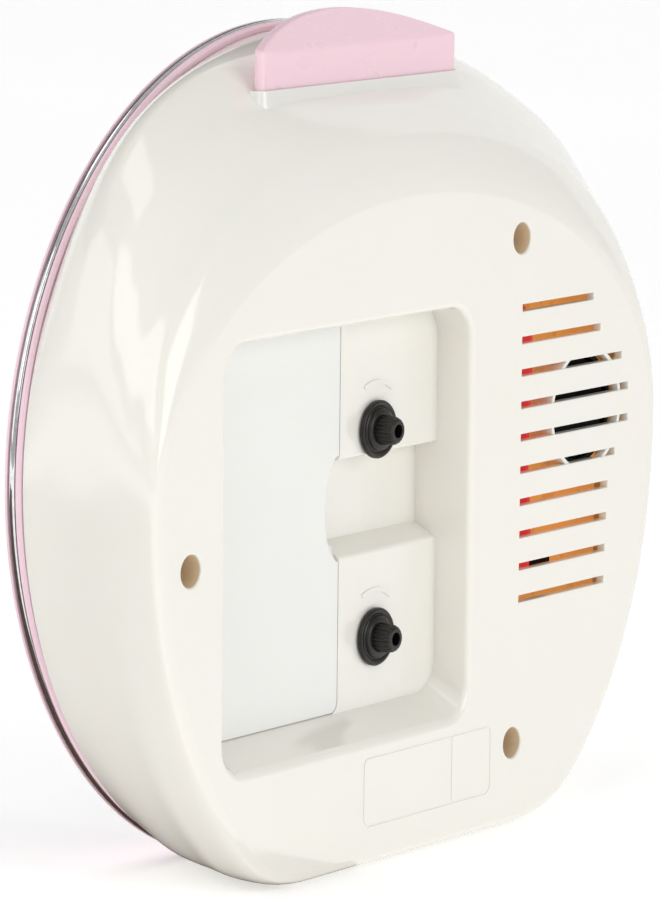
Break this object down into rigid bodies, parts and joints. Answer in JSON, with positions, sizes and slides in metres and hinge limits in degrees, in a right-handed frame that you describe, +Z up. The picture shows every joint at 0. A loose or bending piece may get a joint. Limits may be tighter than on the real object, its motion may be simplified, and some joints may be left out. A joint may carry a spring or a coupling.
{
  "type": "alarm clock",
  "caption": "Round table alarm clock with a flat base, a long snooze bar on top, a recessed back with set knobs and a battery door, and a slotted speaker grille.",
  "frame": {"origin": "middle of the bounding box at the flat base the clock stands on", "axes": "+Z up, +Y out of the back face (the dial faces -Y), +X to the left of someone looking at the back"},
  "size_m": [0.1846, 0.048, 0.178],
  "materials": {
    "cream": "glossy moulded, cream",
    "white": "satin moulded, cool white",
    "pink": "glossy moulded, pale pink",
    "chrome": "bright plated",
    "clear_lens": "clear polished",
    "dial": "printed card",
    "knob": "black-brown moulded",
    "hand": "dark painted",
    "works": "natural moulded",
    "steel": "plated steel",
    "copper": "enamelled copper wire",
    "board": "brown phenolic board",
    "black_plastic": "black",
    "red_plastic": "red"
  },
  "bodies": {
    "case": {"rear_housing": "cream", "dial_ring": "white", "front_frame": "white", "snooze_shelf": "white", "battery_tray": "white", "front_bezel": "pink", "rear_ring": "pink", "chrome_ring": "chrome", "lens": "clear_lens", "dial": "dial", "movement_front_case": "works", "movement_back_case": "works", "snooze_spring_left": "steel", "snooze_spring_right": "steel", "motor_stator": "steel", "contact_negative": "steel", "contact_link_lower": "steel", "contact_link_upper": "steel", "contact_positive": "steel", "board_screw_1": "steel", "board_screw_2": "steel", "speaker_magnet": "steel", "case_screw_1": "steel", "case_screw_2": "steel", "case_screw_3": "steel", "motor_coil": "copper", "movement_board": "board", "circuit_board": "board", "snooze_switch": "black_plastic", "speaker_frame": "black_plastic", "sound_chip": "black_plastic", "board_capacitor": "black_plastic", "black_lead": "black_plastic", "red_lead": "red_plastic"},
    "snooze": {"snooze_bar": "pink"},
    "door": {"battery_door": "white"},
    "time_knob": {"time_set_knob": "knob"},
    "minute": {"minute_wheel": "works", "minute_hand": "hand"},
    "motion": {"motion_wheel": "works"},
    "hour": {"hour_wheel": "works", "hour_hand": "hand"},
    "alarm_knob": {"alarm_set_knob": "knob"},
    "alarm_idle": {"alarm_idler": "works"},
    "alarm": {"alarm_wheel": "works", "alarm_hand": "hand"},
    "rotor": {"motor_rotor": "steel"},
    "third": {"third_wheel": "works"},
    "second": {"second_wheel": "works", "second_hand": "red_plastic"},
    "cone": {"speaker_cone": "black_plastic"}
  },
  "joints": [
    {"name": "snooze_press", "type": "slide", "parent": "case", "child": "snooze", "axis": [0, 0, -1], "range_m": [0, 0.0025], "stiffness_N_per_m": 400, "springref_m": -0.002, "deforming": ["snooze_spring_left", "snooze_spring_right"]},
    {"name": "battery_door_swing", "type": "hinge", "parent": "case", "child": "door", "pos_m": [0.0687, 0.015, 0.0734], "axis": [0, 0, -1], "range_deg": [0, 30]},
    {"name": "time_set_turn", "type": "hinge", "parent": "case", "child": "time_knob", "pos_m": [0.0043, 0, 0.0905], "axis": [0, 1, 0], "continuous": true},
    {"name": "minute_turn", "type": "hinge", "parent": "case", "child": "minute", "pos_m": [0, 0, 0.085], "axis": [0, 1, 0], "continuous": true},
    {"name": "motion_turn", "type": "hinge", "parent": "case", "child": "motion", "pos_m": [-0.01, 0, 0.085], "axis": [0, 1, 0], "continuous": true},
    {"name": "hour_turn", "type": "hinge", "parent": "case", "child": "hour", "pos_m": [0, 0, 0.085], "axis": [0, 1, 0], "continuous": true},
    {"name": "alarm_set_turn", "type": "hinge", "parent": "case", "child": "alarm_knob", "pos_m": [0.0043, 0, 0.04624], "axis": [0, 1, 0], "continuous": true},
    {"name": "alarm_idler_turn", "type": "hinge", "parent": "case", "child": "alarm_idle", "pos_m": [0.00255, 0, 0.06204], "axis": [0, 1, 0], "continuous": true},
    {"name": "alarm_turn", "type": "hinge", "parent": "case", "child": "alarm", "pos_m": [0, 0, 0.085], "axis": [0, 1, 0], "continuous": true},
    {"name": "rotor_turn", "type": "hinge", "parent": "case", "child": "rotor", "pos_m": [-0.0036, 0, 0.07484], "axis": [0, 1, 0], "continuous": true},
    {"name": "third_turn", "type": "hinge", "parent": "case", "child": "third", "pos_m": [-0.0036, 0, 0.08198], "axis": [0, 1, 0], "continuous": true},
    {"name": "second_turn", "type": "hinge", "parent": "case", "child": "second", "pos_m": [0, 0, 0.085], "axis": [0, 1, 0], "continuous": true},
    {"name": "speaker_cone_move", "type": "slide", "parent": "case", "child": "cone", "axis": [0, 1, 0], "range_m": [-0.0002, 0.0002], "stiffness_N_per_m": 600}
  ],
  "couplings": [
    {"joint": "minute_turn", "follows": "time_set_turn", "ratio": -0.5},
    {"joint": "motion_turn", "follows": "time_set_turn", "ratio": 0.16667},
    {"joint": "hour_turn", "follows": "time_set_turn", "ratio": -0.041667},
    {"joint": "alarm_idler_turn", "follows": "alarm_set_turn", "ratio": -0.17778},
    {"joint": "alarm_turn", "follows": "alarm_set_turn", "ratio": 0.25},
    {"joint": "third_turn", "follows": "rotor_turn", "ratio": -0.16667},
    {"joint": "second_turn", "follows": "rotor_turn", "ratio": 0.033333}
  ]
}
